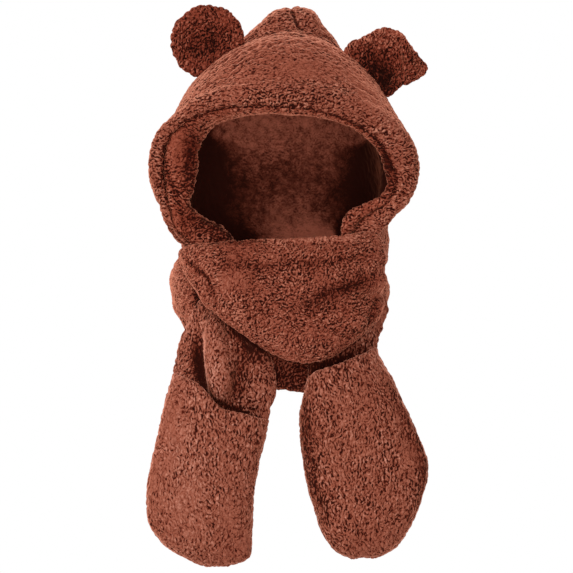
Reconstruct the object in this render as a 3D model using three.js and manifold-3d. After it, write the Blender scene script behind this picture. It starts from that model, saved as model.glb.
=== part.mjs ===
// A bear-eared hood scarf in teddy fleece, worn shape: a lined hood with a rolled face band and two
// ears, a scarf wound round the neck, and two scarf tails that end in mitten pockets.
// Millimetres, +Z up, the face opening looks along -Y, +X is to the viewer's right.
// The origin is the crown of the wearer's head, which carries the hood.
import * as THREE from "three";
import { mergeVertices } from "three/addons/utils/BufferGeometryUtils.js";
import Module from "manifold-3d";

// Hood
const hoodWidth = 292; // across the puffed front edge, at cheek height
const hoodReach = 336; // from the chin up to the peak
const chinFront = 84; // how far the chin edge lies in front of the crown
const chinDrop = 276; // how far it lies below the crown
const hoodMiddle = -5.5; // the hood's middle plane, a little to the viewer's left of the crown
const crownSway = 11; // how far the peak leans to the viewer's right of that plane
const crownTilt = 0.055; // and how much lower the viewer's right side is, per length across
const shellWall = 6; // teddy fleece with its pile
const liningWall = 3;
const bandThickness = 13; // the rolled and stitched hem round the face
const seamGap = 0.04; // share of a section left open at the groove between band and shell
const seamLean = 0.066; // how far the middle seam leans to the viewer's right, per height
const clearance = 0.4; // between pieces that touch in the real hood
const sliver = 0.05; // facets thinner than this are dropped where pieces are cut

// Ears
const earSpan = 81;
const earThickness = 17;
const earCup = 9; // how far the rim stands in front of the ear's middle
const earFold = 24; // how far the flopped ear's tip falls forward

// Scarf
const neckWidth = 176; // the hood's neck, at the middle of its wall
const neckDepth = 164;
const scarfSize = 100; // the wound scarf's folds and edges follow this size
const scarfLayer = 14; // one folded layer of scarf
const tailLayer = 11; // a tail's own doubled cloth
const tailFront = 95; // how far the tails hang in front of the crown
const tailCurl = 44; // how far a tail's top bends back round the neck
const leftTailFall = 296; // from the hidden top of the tail to the tip of its mitten
const rightTailFall = 289;
const tailTop = 280; // how far the tails' hidden tops lie below the crown
const mittenWidth = 128;
const mittenWall = 8;
const palmDepth = 27; // the pocket's front stands this far off the seam
const backDepth = 18; // the tail's back stands this far off the seam

const hoodColour = new THREE.Color(0.24, 0.075, 0.045);
const scarfColour = new THREE.Color(0.21, 0.065, 0.038);
const liningColour = new THREE.Color(0.1, 0.032, 0.02);

// The hood's sections, from the face edge over the crown to the neck. Each lies in a plane hinged at
// the chin. lean: the plane's angle in degrees, 90 is upright. low and high: shares of hoodReach from
// the chin. half: share of half the hood's width. shift: its middle's place to the viewer's right, as
// a share of the same. belly: where it is widest, as a share of its height. leftLow, rightLow,
// leftTop and rightTop: fullness of its corners, 2 is an ellipse. bow and lift: how far its sides turn
// back and up, as shares of half the hood's width.
const hoodSections = [
  { part: "face edge", lean: 96.4, low: 0.101, high: 0.598, half: 0.745, shift: 0.1, belly: 0.56, leftLow: 3, rightLow: 1.2, leftTop: 2.9, rightTop: 2.3, bow: 0.15, lift: 0 },
  { part: "groove", lean: 102.6, low: 0.08, high: 0.629, half: 0.89, shift: -0.02, belly: 0.58, leftLow: 2.6, rightLow: 1.6, leftTop: 2.7, rightTop: 2, bow: 0.2, lift: 0 },
  { part: "front roll", lean: 103, low: 0.063, high: 0.675, half: 0.99, shift: 0, belly: 0.59, leftLow: 2.3, rightLow: 1.65, leftTop: 2.2, rightTop: 2.15, bow: 0.22, lift: 0 },
  { part: "roll's back", lean: 99.3, low: 0.055, high: 0.704, half: 1.0, shift: 0.01, belly: 0.57, leftLow: 2.3, rightLow: 1.6, leftTop: 1.85, rightTop: 2.05, bow: 0.25, lift: 0 },
  { part: "brow", lean: 90.2, low: 0.052, high: 0.785, half: 0.965, shift: 0, belly: 0.51, leftLow: 2.3, rightLow: 1.7, leftTop: 1.72, rightTop: 1.9, bow: 0.25, lift: 0 },
  { part: "ridge", lean: 80.8, low: 0.052, high: 0.859, half: 0.9, shift: 0, belly: 0.47, leftLow: 2.2, rightLow: 1.8, leftTop: 1.8, rightTop: 1.9, bow: 0.2, lift: 0 },
  { part: "crease", lean: 75.4, low: 0.052, high: 0.892, half: 0.86, shift: 0, belly: 0.45, leftLow: 2.2, rightLow: 1.9, leftTop: 1.62, rightTop: 1.6, bow: 0.14, lift: 0 },
  { part: "peak", lean: 70.2, low: 0.052, high: 0.998, half: 0.81, shift: 0, belly: 0.42, leftLow: 2.2, rightLow: 2, leftTop: 1.5, rightTop: 1.42, bow: 0.08, lift: 0 },
  { part: "peak's back", lean: 64.1, low: 0.05, high: 1.018, half: 0.8, shift: 0, belly: 0.42, leftLow: 2.2, rightLow: 2.1, leftTop: 1.6, rightTop: 1.55, bow: 0.03, lift: 0 },
  { part: "crown's back", lean: 56, low: 0.048, high: 1.003, half: 0.8, shift: 0, belly: 0.44, leftLow: 2.2, rightLow: 2.2, leftTop: 1.85, rightTop: 1.8, bow: 0, lift: 0 },
  { part: "nape top", lean: 45.9, low: 0.046, high: 0.929, half: 0.8, shift: 0, belly: 0.46, leftLow: 2.2, rightLow: 2.2, leftTop: 2.05, rightTop: 2, bow: 0, lift: 0.01 },
  { part: "nape", lean: 34.9, low: 0.044, high: 0.814, half: 0.79, shift: 0, belly: 0.48, leftLow: 2.2, rightLow: 2.2, leftTop: 2.15, rightTop: 2.15, bow: 0, lift: 0.03 },
  { part: "overhang", lean: 23.5, low: 0.042, high: 0.704, half: 0.76, shift: 0, belly: 0.5, leftLow: 2.2, rightLow: 2.2, leftTop: 2.25, rightTop: 2.25, bow: 0, lift: 0.08 },
  { part: "gather", lean: 15.6, low: 0.04, high: 0.629, half: 0.685, shift: 0, belly: 0.5, leftLow: 2.3, rightLow: 2.3, leftTop: 2.3, rightTop: 2.3, bow: 0, lift: 0.11 },
];

// The neck, below the gather, starts this share of hoodReach behind the chin.
const neckStart = 0.035;

// Its sections. drop: share of scarfSize below the chin. lean as above. grow: share of
// the neck's own half width and depth.
const neckSections = [
  { part: "gathered neck", lean: 12, drop: 0, grow: 1.06, lift: 0.1 },
  { part: "neck", lean: 7, drop: 0.04, grow: 1, lift: 0.05 },
  { part: "neck edge", lean: 0, drop: 0.32, grow: 1, lift: 0 },
];

// The under wrap, round the neck: around is the angle from the front, positive to the viewer's right.
// top and bottom: shares of scarfSize below the crown. out: how far its belly stands off the neck.
const underWrap = [
  { around: -180, top: 2.4, bottom: 3.22, out: 0.15 },
  { around: -135, top: 2.38, bottom: 3.18, out: 0.2 },
  { around: -90, top: 2.33, bottom: 3.06, out: 0.35 },
  { around: -60, top: 2.46, bottom: 3.3, out: 0.31 },
  { around: -30, top: 2.8, bottom: 3.66, out: 0.17 },
  { around: 0, top: 2.95, bottom: 3.81, out: 0.16 },
  { around: 30, top: 2.9, bottom: 3.86, out: 0.16 },
  { around: 60, top: 2.6, bottom: 3.5, out: 0.16 },
  { around: 90, top: 2.44, bottom: 3.16, out: 0.15 },
  { around: 135, top: 2.4, bottom: 3.26, out: 0.16 },
];

// The front drape, which lies over the under wrap and hangs lowest in front.
const frontDrape = [
  { around: -180, top: 2.06, bottom: 2.68, out: 0.33 },
  { around: -135, top: 2.14, bottom: 2.6, out: 0.33 },
  { around: -90, top: 2.27, bottom: 2.46, out: 0.27 },
  { around: -65, top: 2.25, bottom: 2.42, out: 0.36 },
  { around: -45, top: 2.23, bottom: 2.58, out: 0.56 },
  { around: -30, top: 2.21, bottom: 2.93, out: 0.6 },
  { around: -15, top: 2.19, bottom: 3.2, out: 0.55 },
  { around: 0, top: 2.17, bottom: 3.44, out: 0.5 },
  { around: 15, top: 2.15, bottom: 3.5, out: 0.52 },
  { around: 30, top: 2.12, bottom: 3.3, out: 0.56 },
  { around: 45, top: 2.09, bottom: 3.1, out: 0.56 },
  { around: 60, top: 2.06, bottom: 3.0, out: 0.36 },
  { around: 90, top: 2.04, bottom: 3.0, out: 0.29 },
  { around: 135, top: 2.02, bottom: 2.78, out: 0.31 },
];

// Folds of the front drape. Each runs from one place to another, given by around in degrees and down
// as a share of scarfSize. rise and half width are shares of scarfSize, and a dent has a minus sign.
const drapeFolds = [
  { from: [64, 2.46], to: [4, 2.83], rise: 0.08, wide: 0.13 },
  { from: [62, 2.66], to: [6, 2.99], rise: -0.07, wide: 0.1 },
  { from: [-58, 2.3], to: [-24, 2.78], rise: -0.03, wide: 0.05 },
  { from: [40, 2.98], to: [6, 3.26], rise: 0.05, wide: 0.16 },
];

// Outlines of the tails. fall: share of that tail's length. left and right: the edges' places across,
// as shares of mittenWidth from the crown's middle.
const leftOutline = [
  { fall: 0, left: -0.73, right: -0.34 },
  { fall: 0.07, left: -0.84, right: -0.34 },
  { fall: 0.118, left: -0.89, right: -0.33 },
  { fall: 0.176, left: -0.93, right: -0.22 },
  { fall: 0.236, left: -0.953, right: -0.14 },
  { fall: 0.294, left: -0.98, right: -0.11 },
  { fall: 0.355, left: -1.03, right: -0.11 },
  { fall: 0.416, left: -1.065, right: -0.15 },
  { fall: 0.505, left: -1.11, right: -0.19 },
  { fall: 0.62, left: -1.17, right: -0.255 },
  { fall: 0.74, left: -1.225, right: -0.3 },
  { fall: 0.8, left: -1.215, right: -0.305 },
  { fall: 0.86, left: -1.17, right: -0.312 },
  { fall: 0.92, left: -1.06, right: -0.335 },
  { fall: 0.95, left: -0.96, right: -0.365 },
  { fall: 0.98, left: -0.83, right: -0.43 },
  { fall: 1, left: -0.72, right: -0.52 },
];
const rightOutline = [
  { fall: 0, left: 0.24, right: 0.82 },
  { fall: 0.05, left: 0.22, right: 0.85 },
  { fall: 0.1, left: 0.2, right: 0.82 },
  { fall: 0.15, left: 0.19, right: 0.785 },
  { fall: 0.2, left: 0.18, right: 0.762 },
  { fall: 0.25, left: 0.17, right: 0.8 },
  { fall: 0.3, left: 0.16, right: 0.865 },
  { fall: 0.363, left: 0.14, right: 0.93 },
  { fall: 0.45, left: 0.095, right: 1.035 },
  { fall: 0.52, left: 0.095, right: 1.105 },
  { fall: 0.58, left: 0.11, right: 1.16 },
  { fall: 0.637, left: 0.137, right: 1.2 },
  { fall: 0.7, left: 0.16, right: 1.19 },
  { fall: 0.76, left: 0.195, right: 1.148 },
  { fall: 0.82, left: 0.24, right: 1.105 },
  { fall: 0.88, left: 0.28, right: 1.04 },
  { fall: 0.94, left: 0.36, right: 0.95 },
  { fall: 0.97, left: 0.43, right: 0.86 },
  { fall: 1, left: 0.55, right: 0.74 },
];

// Lengthwise folds in a tail, above its pocket. at: place across from -1 to 1 at the top and at the
// foot of the fold. rise: share of tailLayer. wide: share of the tail's half width. ends: the share
// of the tail's fall at which it has died away.
const leftTailFolds = [
  { top: -0.25, foot: -0.02, rise: 1.3, wide: 0.34, ends: 0.43 },
  { top: 0.75, foot: 0.78, rise: 0.5, wide: 0.26, ends: 0.46 },
  { top: -0.85, foot: -0.85, rise: 0.3, wide: 0.2, ends: 0.44 },
];
const rightTailFolds = [
  { top: 0.2, foot: 0.1, rise: 0.3, wide: 0.4, ends: 0.4 },
];

// Ears: where the middle of each disc lies, as shares of hoodWidth from the crown, the direction of
// its tip in degrees above +X, and its outline's reach at each angle from the tip, as shares of half
// the span.
const leftEarOutline = [
  { from: -180, reach: 1.05 },
  { from: -120, reach: 0.94 },
  { from: -60, reach: 0.98 },
  { from: 0, reach: 1.0 },
  { from: 60, reach: 0.97 },
  { from: 120, reach: 0.96 },
];
const rightEarOutline = [
  { from: -180, reach: 0.98 },
  { from: -118, reach: 0.92 },
  { from: -90, reach: 0.8 },
  { from: -57, reach: 1.04 },
  { from: -42, reach: 1.18 },
  { from: -22, reach: 0.93 },
  { from: 0, reach: 0.82 },
  { from: 29, reach: 0.86 },
  { from: 58, reach: 0.89 },
  { from: 98, reach: 0.86 },
  { from: 122, reach: 1.08 },
  { from: 150, reach: 1.1 },
];

const wasm = await Module();
wasm.setup();

const radians = THREE.MathUtils.degToRad;
const { lerp, clamp, smoothstep } = THREE.MathUtils;

// The value of one column of a table at a place along another, on a smooth curve through its rows.
function track(rows, along, column, at, period = 0) {
  let list = rows;
  if (period) {
    const turned = (row, turns) => ({ ...row, [along]: row[along] + turns * period });
    list = [...rows.slice(-2).map((r) => turned(r, -1)), ...rows, ...rows.slice(0, 2).map((r) => turned(r, 1))];
  }
  const last = list.length - 1;
  let i = 0;
  while (i < last - 1 && at > list[i + 1][along]) i++;
  const slope = (k) => {
    const a = list[Math.max(k - 1, 0)];
    const b = list[Math.min(k + 1, last)];
    return (b[column] - a[column]) / (b[along] - a[along]);
  };
  const step = list[i + 1][along] - list[i][along];
  const t = clamp((at - list[i][along]) / step, 0, 1);
  const keep = (1 + 2 * t) * (1 - t) * (1 - t);
  return (
    keep * list[i][column] +
    (1 - keep) * list[i + 1][column] +
    t * (1 - t) * step * ((1 - t) * slope(i) - t * slope(i + 1))
  );
}

const power = (x, p) => Math.sign(x) * Math.abs(x) ** p;

// Rises from 0 at an edge to 1 once it is a rim's width away, as a quarter circle does.
const rounded = (distance, rim) => Math.sqrt(1 - (1 - clamp(distance / rim, 0, 1)) ** 2);

// A closed mesh from a function of two parameters. The first runs round a loop of places. The second
// runs along stops, which close on themselves if ring is true, or else end where the loop is flat.
function surface(loop, stops, ring, point) {
  const rows = stops.map((s) => loop.map((a) => point(a, s)));
  const positions = [];
  const count = ring ? rows.length : rows.length - 1;
  for (let i = 0; i < count; i++) {
    const below = rows[i];
    const above = rows[(i + 1) % rows.length];
    for (let j = 0; j < loop.length; j++) {
      const k = (j + 1) % loop.length;
      positions.push(...below[j], ...below[k], ...above[k], ...below[j], ...above[k], ...above[j]);
    }
  }
  const geometry = new THREE.BufferGeometry();
  geometry.setAttribute("position", new THREE.Float32BufferAttribute(positions, 3));
  return geometry;
}

const evenly = (count, from, to) =>
  Array.from({ length: count }, (_, i) => lerp(from, to, i / count));

function solid(geometry) {
  const merged = mergeVertices(geometry, 1e-4);
  const made = new wasm.Manifold(
    new wasm.Mesh({
      numProp: 3,
      vertProperties: merged.attributes.position.array,
      triVerts: new Uint32Array(merged.index.array),
    }),
  );
  if (made.volume() > 0) return made;
  const index = merged.index.array;
  const turned = new Uint32Array(index.length);
  for (let i = 0; i < index.length; i += 3) turned.set([index[i], index[i + 2], index[i + 1]], i);
  return new wasm.Manifold(
    new wasm.Mesh({
      numProp: 3,
      vertProperties: merged.attributes.position.array,
      triVerts: turned,
    }),
  );
}

// A cut can leave crumbs and slivers, which are dropped.
function largest(made) {
  const pieces = made.simplify(sliver).decompose();
  return pieces.reduce((a, b) => (b.volume() > a.volume() ? b : a));
}

function geometryOf(made) {
  const { numProp, vertProperties, triVerts } = made.getMesh();
  const positions = [];
  for (const v of triVerts) positions.push(...vertProperties.subarray(v * numProp, v * numProp + 3));
  const geometry = new THREE.BufferGeometry();
  geometry.setAttribute("position", new THREE.Float32BufferAttribute(positions, 3));
  geometry.computeVertexNormals();
  return geometry;
}

const hoodScarf = new THREE.Group();
hoodScarf.name = "hood_scarf";

function add(name, made, color) {
  const cloth = new THREE.MeshStandardMaterial({ color, roughness: 1, metalness: 0 });
  const mesh = new THREE.Mesh(geometryOf(made), cloth);
  mesh.name = name;
  hoodScarf.add(mesh);
}

// Hood: one surface from the face edge, row 0, to the neck edge, the last row.
const neckMiddle = neckDepth / 2 - chinFront + neckStart * hoodReach;
const sections = [
  ...hoodSections.map((s, row) => ({
    ...s,
    row,
    low: s.low * hoodReach,
    high: s.high * hoodReach,
    half: (s.half * hoodWidth) / 2,
    shift: (s.shift * hoodWidth) / 2,
    bow: (s.bow * hoodWidth) / 2,
    lift: (s.lift * hoodWidth) / 2,
    drop: 0,
  })),
  ...neckSections.map((s, k) => ({
    row: hoodSections.length + k,
    lean: s.lean,
    low: neckMiddle + chinFront - (s.grow * neckDepth) / 2,
    high: neckMiddle + chinFront + (s.grow * neckDepth) / 2,
    half: (s.grow * neckWidth) / 2,
    shift: 0,
    belly: 0.5,
    leftLow: 2.3,
    rightLow: 2.3,
    leftTop: 2.3,
    rightTop: 2.3,
    bow: 0,
    lift: (s.lift * neckWidth) / 2,
    drop: s.drop * scarfSize,
  })),
];
const lastRow = sections.length - 1;
const grooveRow = 1;

function hoodPoint(turn, row) {
  const at = (column) => track(sections, "row", column, row);
  const across = -Math.sin(turn);
  const up = -Math.cos(turn);
  const [low, high] = [at("low"), at("high")];
  const middle = lerp(low, high, at("belly"));
  const ends = up > 0 ? ["leftTop", "rightTop"] : ["leftLow", "rightLow"];
  const fullness = lerp(at(ends[0]), at(ends[1]), (across + 1) / 2);
  const x = at("half") * power(across, 2 / fullness);
  const reach = middle + power(up, 2 / fullness) * (up > 0 ? high - middle : middle - low);
  const side = (x / at("half")) ** 2;
  const lean = radians(at("lean"));
  const y = -chinFront + reach * Math.cos(lean) + at("bow") * side;
  const rise = reach * Math.sin(lean) + at("lift") * side - at("drop");
  const sway = crownSway * smoothstep(rise, 0.6 * chinDrop, 1.15 * chinDrop);
  const tilt = crownTilt * smoothstep(rise, 0.1 * chinDrop, 0.6 * chinDrop);
  return new THREE.Vector3(hoodMiddle + at("shift") + x + sway, y, rise - chinDrop - tilt * x);
}

function hoodOffset(turn, row, distance) {
  const e = 0.02;
  const [a, b] = [Math.max(row - e, 0), Math.min(row + e, lastRow)];
  const along = hoodPoint(turn, b).sub(hoodPoint(turn, a));
  const round = hoodPoint(turn + e, row).sub(hoodPoint(turn - e, row));
  return hoodPoint(turn, row).addScaledVector(round.cross(along).normalize(), distance);
}

// A wall on the hood's surface between two rows. Its two faces lie at the distances outer and inner
// from the surface, and meet in a rounded edge at each end.
function hoodWall(rows, outer, inner, rims) {
  const stops = [
    ...rows.map((row) => ({ row, face: outer })),
    ...rows.slice(1, -1).reverse().map((row) => ({ row, face: inner })),
  ];
  const middle = (outer + inner) / 2;
  const [first, end] = [rows[0], rows[rows.length - 1]];
  return solid(
    surface(evenly(hoodAround, 0, 2 * Math.PI), stops, true, (turn, { row, face }) => {
      const open = rounded(row - first, rims[0]) * rounded(end - row, rims[1]);
      return hoodOffset(turn, row, middle + (face - middle) * open);
    }),
  );
}

const hoodAround = 32;
const shellRows = [1.02, 1.08, 1.3, 2, 3, 4, 5, 5.7, 6.3, 7, 8, 9, 10, 11, 12, 13, 14, 15.9, 16];
const liningRows = shellRows.filter((row) => row >= 2 && row < 16);
const bandRows = [0, 0.05, 0.25, 0.5, 0.75, 0.94, grooveRow - seamGap / 2];
const shellFace = shellWall / 2;

const liningFace = -shellFace - 2 * clearance;
const bandFace = bandThickness / 2;
const bandRims = [0.5, 0.5];
const bandGroove = [...bandRows.slice(0, -1), grooveRow];
const bandKeepOut = hoodWall(bandGroove, bandFace + clearance, -bandFace - clearance, bandRims);
const band = hoodWall(bandRows, bandFace, -bandFace, bandRims);
const shellRims = [0.3, 0.3];
const skinKeepOut = hoodWall(shellRows, shellFace + clearance, liningFace - liningWall, shellRims);
const shell = largest(hoodWall(shellRows, shellFace, -shellFace, shellRims).subtract(bandKeepOut));
const lining = largest(
  hoodWall(liningRows, liningFace, liningFace - liningWall, shellRims)
    .subtract(shell)
    .subtract(bandKeepOut),
);

// The shell is two side panels, joined along a middle seam from the brow over the crown to the nape.
function panel(side) {
  const normal = new THREE.Vector3(side, 0, -side * seamLean).normalize();
  const seam = normal.dot(new THREE.Vector3(hoodMiddle, 0, -chinDrop));
  return largest(shell.trimByPlane(normal.toArray(), seam + clearance / 2));
}
add("hood_left", panel(-1), hoodColour);
add("hood_right", panel(1), hoodColour);
add("hood_lining", lining, liningColour);
add("face_band", band, hoodColour);

// The space that the hood fills, with its hollow, grown by a distance. Neighbours are cut with it.
function hoodSpace(grow) {
  const rows = [0, 0.5, ...shellRows.slice(1)];
  const stops = [-1, ...rows, lastRow + 1];
  const face = shellFace + grow;
  return solid(
    surface(evenly(hoodAround, 0, 2 * Math.PI), stops, false, (turn, row) => {
      if (row < 0) return new THREE.Vector3(hoodMiddle, -chinFront, -chinDrop / 2);
      if (row > lastRow) return new THREE.Vector3(hoodMiddle, neckMiddle, hoodPoint(0, lastRow).z - grow);
      return hoodOffset(turn, row, face);
    }),
  );
}
const hoodKeepOut = hoodSpace(clearance).add(hoodSpace(3 * clearance)).add(bandKeepOut).add(skinKeepOut);

// Ears: a padded disc, cupped forward, cut to the hood's slope.
function ear({ middle, tip, outline, fold }) {
  const half = earSpan / 2;
  const lats = [-90, -72, -50, -25, 0, 25, 50, 72, 90];
  const disc = surface(evenly(24, -180, 180), lats, false, (from, lat) => {
    const out = Math.cos(radians(lat));
    const edge = half * track(outline, "from", "reach", from, 360);
    const angle = radians(tip + from);
    const forward = earCup * out ** 2 + fold * Math.max(0, out * Math.cos(radians(from + 40))) ** 2;
    const puff = (earThickness / 2) * Math.sin(radians(lat)) * (0.75 + 0.5 * out ** 2);
    return new THREE.Vector3(
      middle[0] * hoodWidth + edge * out * Math.cos(angle),
      middle[1] * hoodWidth - forward - puff,
      middle[2] * hoodWidth + edge * out * Math.sin(angle),
    );
  });
  return largest(solid(disc).subtract(hoodSpace(clearance)));
}

const leftEar = ear({ middle: [-0.305, -0.1, 0], tip: 135, outline: leftEarOutline, fold: 0 });
const rightEar = ear({ middle: [0.365, -0.1, -0.07], tip: 32, outline: rightEarOutline, fold: earFold });
add("ear_left", leftEar, hoodColour);
add("ear_right", rightEar, hoodColour);

// Scarf wraps: a place round the neck, standing off the neck's own outline.
const planFullness = 2.6;
function roundNeck(around, off, z) {
  const turn = radians(around);
  return new THREE.Vector3(
    hoodMiddle + (neckWidth / 2 + off) * power(Math.sin(turn), 2 / planFullness),
    neckMiddle - (neckDepth / 2 + off) * power(Math.cos(turn), 2 / planFullness),
    z,
  );
}

function foldRise(folds, around, down) {
  let rise = 0;
  for (const { from, to, rise: height, wide } of folds) {
    // Degrees round the neck count as scarf lengths, at about two sizes to a radian.
    const scale = radians(1) * 1.3;
    const [ax, bx, px] = [from[0] * scale, to[0] * scale, around * scale];
    const [dx, dz] = [bx - ax, to[1] - from[1]];
    const t = clamp(((px - ax) * dx + (down - from[1]) * dz) / (dx * dx + dz * dz), 0, 1);
    const away = Math.hypot(px - ax - t * dx, down - from[1] - t * dz);
    rise += height * Math.exp(-((away / wide) ** 2)) * Math.sin(Math.PI * lerp(0.2, 0.9, t));
  }
  return rise * scarfSize;
}

// A wrap is a closed ring of cloth. Its section is a soft slab, from inner to outer face, which hangs
// between its top and bottom edges and bellies out between them.
function wrap(rows, { around, grow, inner, folds, tuck }) {
  const height = [0, 0.05, 0.2, 0.4, 0.6, 0.8, 0.95, 1];
  const stops = evenly(around, -180, 180);
  const loop = [
    ...height.map((h) => ({ h, face: 1 })),
    ...height.slice(1, -1).reverse().map((h) => ({ h, face: -1 })),
  ];
  return solid(
    surface(loop, stops, true, ({ h, face }, at) => {
      const top = track(rows, "around", "top", at, 360) * scarfSize - grow;
      const bottom = track(rows, "around", "bottom", at, 360) * scarfSize + grow;
      const out = track(rows, "around", "out", at, 360) * scarfSize + grow;
      const within = inner(out) - grow;
      const down = lerp(bottom, top, h);
      const edge = rounded(Math.min(h, 1 - h), 0.22);
      const middle = (out + within) / 2 - tuck * scarfSize * (2 * h - 1) ** 2;
      const fold = foldRise(folds, at, down / scarfSize) * edge;
      const off = middle + ((face * (out - within)) / 2) * edge + (face > 0 ? fold : fold * 0.5);
      return roundNeck(at, off, -down);
    }),
  );
}

const neckFace = shellFace + clearance;
const underShape = { around: 32, inner: () => neckFace, folds: [], tuck: 0.02 };
const under = largest(wrap(underWrap, { ...underShape, grow: 0 }).subtract(hoodKeepOut));
const underKeepOut = wrap(underWrap, { ...underShape, grow: clearance });
add("under_wrap", under, scarfColour);

// Tails: one face of a tail or pocket at a place down its length and across its width.
const tails = {
  left: { outline: leftOutline, fall: leftTailFall, folds: leftTailFolds, mouth: [0.303, 0.432], opens: 0.52 },
  right: { outline: rightOutline, fall: rightTailFall, folds: rightTailFolds, mouth: [0.297, 0.196], opens: 0.47 },
};

const arch = (t) => (1 - Math.min(1, Math.abs(t)) ** 2.5) ** (1 / 2.5);
const tailAcross = [-1, -0.95, -0.82, -0.6, -0.3, 0, 0.3, 0.6, 0.82, 0.95, 1];

function tailEdges({ outline }, fall) {
  const left = track(outline, "fall", "left", fall) * mittenWidth;
  const right = track(outline, "fall", "right", fall) * mittenWidth;
  return [left, right];
}

// The seam plane, which bends back round the neck at its top.
function seamPlace(fall, x) {
  const bent = 1 - smoothstep(fall, 0.06, 0.44);
  return -tailFront + tailCurl * bent * ((x - hoodMiddle) / (neckWidth / 2 + 2 * scarfLayer)) ** 2;
}

// Share of full depth left as the mitten closes at its tip.
const tipClose = (fall, tip) => Math.sqrt(Math.max(0, 1 - clamp((fall - tip + 0.2) / 0.2, 0, 1) ** 2.4));

function tailSolid(side, grow) {
  const tail = tails[side];
  const stops = [0, 0.03, 0.1, 0.18, 0.25, 0.32, 0.39, 0.45, 0.52, 0.62, 0.72, 0.81, 0.88, 0.93, 0.965, 0.99, 1];
  const loop = [
    ...tailAcross.map((t) => ({ t, front: true })),
    ...tailAcross.slice(1, -1).reverse().map((t) => ({ t, front: false })),
  ];
  return solid(
    surface(loop, stops, false, ({ t, front }, fall) => {
      const [left, right] = tailEdges(tail, fall);
      const half = (right - left) / 2 + grow;
      const x = (left + right) / 2 + half * t;
      const mitten = smoothstep(fall, tail.opens - 0.14, tail.opens + 0.06);
      const slab = (tailLayer / 2 + grow) * Math.sqrt(1 - t ** 4) * rounded(fall, 0.03);
      const wallShare = 1 - mittenWall / half;
      const hollow = (backDepth - mittenWall) * arch(t / wallShare) * tipClose(fall, 1 - mittenWall / tail.fall);
      const back = (backDepth + grow) * arch(t) * tipClose(fall, 1);
      let folds = 0;
      for (const { top, foot, rise, wide, ends } of tail.folds) {
        const away = (t - lerp(top, foot, fall / ends)) / wide;
        folds += rise * Math.exp(-away * away) * (1 - smoothstep(fall, ends - 0.1, ends)) * smoothstep(fall, 0, 0.1);
      }
      const frontFace = lerp(-slab - folds * tailLayer * Math.sqrt(1 - t ** 4), hollow - grow * rounded(1 - fall, 0.01), mitten);
      const y = seamPlace(fall, x) + (front ? frontFace : lerp(slab, back, mitten));
      return new THREE.Vector3(x, y, -tailTop - tail.fall * fall + grow * (1 - 2 * fall));
    }),
  );
}

// The pocket panel in front: an arched wall, sewn to the tail along both sides and round the tip.
function pocketSolid(side) {
  const tail = tails[side];
  const share = [0, 0.012, 0.04, 0.14, 0.28, 0.44, 0.6, 0.73, 0.83, 0.9, 0.95, 0.985, 1];
  const loop = [
    ...tailAcross.map((t) => ({ t, front: true })),
    ...tailAcross.slice(1, -1).reverse().map((t) => ({ t, front: false })),
  ];
  const seam = clearance;
  return solid(
    surface(loop, share, false, ({ t, front }, down) => {
      const mouth = lerp(tail.mouth[0], tail.mouth[1], (t + 1) / 2);
      const fall = lerp(mouth, 1, down);
      const [left, right] = tailEdges(tail, fall);
      const half = (right - left) / 2;
      const x = (left + right) / 2 + half * t;
      const flare = 1 + 0.16 * (1 - smoothstep(down, 0, 0.3));
      const outer = palmDepth * flare * arch(t) * tipClose(fall, 1);
      const wallShare = 1 - mittenWall / half;
      const inside = (palmDepth * flare - mittenWall) * arch(t / wallShare) * tipClose(fall, 1 - mittenWall / tail.fall);
      const middle = (outer + inside) / 2;
      const lip = rounded(down, 0.035);
      const off = lerp(middle, front ? outer : inside, lip);
      return new THREE.Vector3(x, seamPlace(fall, x) - seam - off, -tailTop - tail.fall * fall);
    }),
  );
}

const leftTail = largest(tailSolid("left", 0).subtract(underKeepOut));
const rightTail = largest(tailSolid("right", 0).subtract(underKeepOut));
const leftPocket = largest(pocketSolid("left").subtract(tailSolid("left", clearance)));
const rightPocket = largest(pocketSolid("right").subtract(tailSolid("right", clearance)));
add("tail_left", leftTail, scarfColour);
add("tail_right", rightTail, scarfColour);
add("mitten_pocket_left", leftPocket, scarfColour);
add("mitten_pocket_right", rightPocket, scarfColour);

const drape = wrap(frontDrape, {
  around: 42,
  grow: 0,
  inner: (out) => out - scarfLayer,
  folds: drapeFolds,
  tuck: 0.08,
})
  .subtract(hoodKeepOut)
  .subtract(underKeepOut)
  .subtract(tailSolid("left", clearance))
  .subtract(tailSolid("right", clearance));
add("front_drape", largest(drape), scarfColour);

export default hoodScarf;
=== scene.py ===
import bmesh
import bpy
import numpy as np
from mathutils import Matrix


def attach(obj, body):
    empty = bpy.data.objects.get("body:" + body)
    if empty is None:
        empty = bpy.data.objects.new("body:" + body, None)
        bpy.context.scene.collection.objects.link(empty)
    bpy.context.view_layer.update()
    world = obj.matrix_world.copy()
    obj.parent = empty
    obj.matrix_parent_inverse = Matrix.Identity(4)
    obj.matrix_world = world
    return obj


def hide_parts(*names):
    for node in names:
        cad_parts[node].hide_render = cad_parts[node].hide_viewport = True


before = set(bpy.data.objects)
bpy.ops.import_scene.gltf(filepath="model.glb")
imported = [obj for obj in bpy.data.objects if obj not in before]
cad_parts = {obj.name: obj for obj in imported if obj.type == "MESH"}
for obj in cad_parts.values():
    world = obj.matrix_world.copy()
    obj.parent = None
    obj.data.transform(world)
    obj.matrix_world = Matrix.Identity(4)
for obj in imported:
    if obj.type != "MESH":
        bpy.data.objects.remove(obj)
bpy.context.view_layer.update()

# Hood, two side panels. Teddy fleece: a knitted backing with a curly brushed pile. The left and the
# right panel are sewn together along the middle, from the brow over the crown to the nape, and the
# lower edge is gathered into the neck, inside the scarf.

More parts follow.
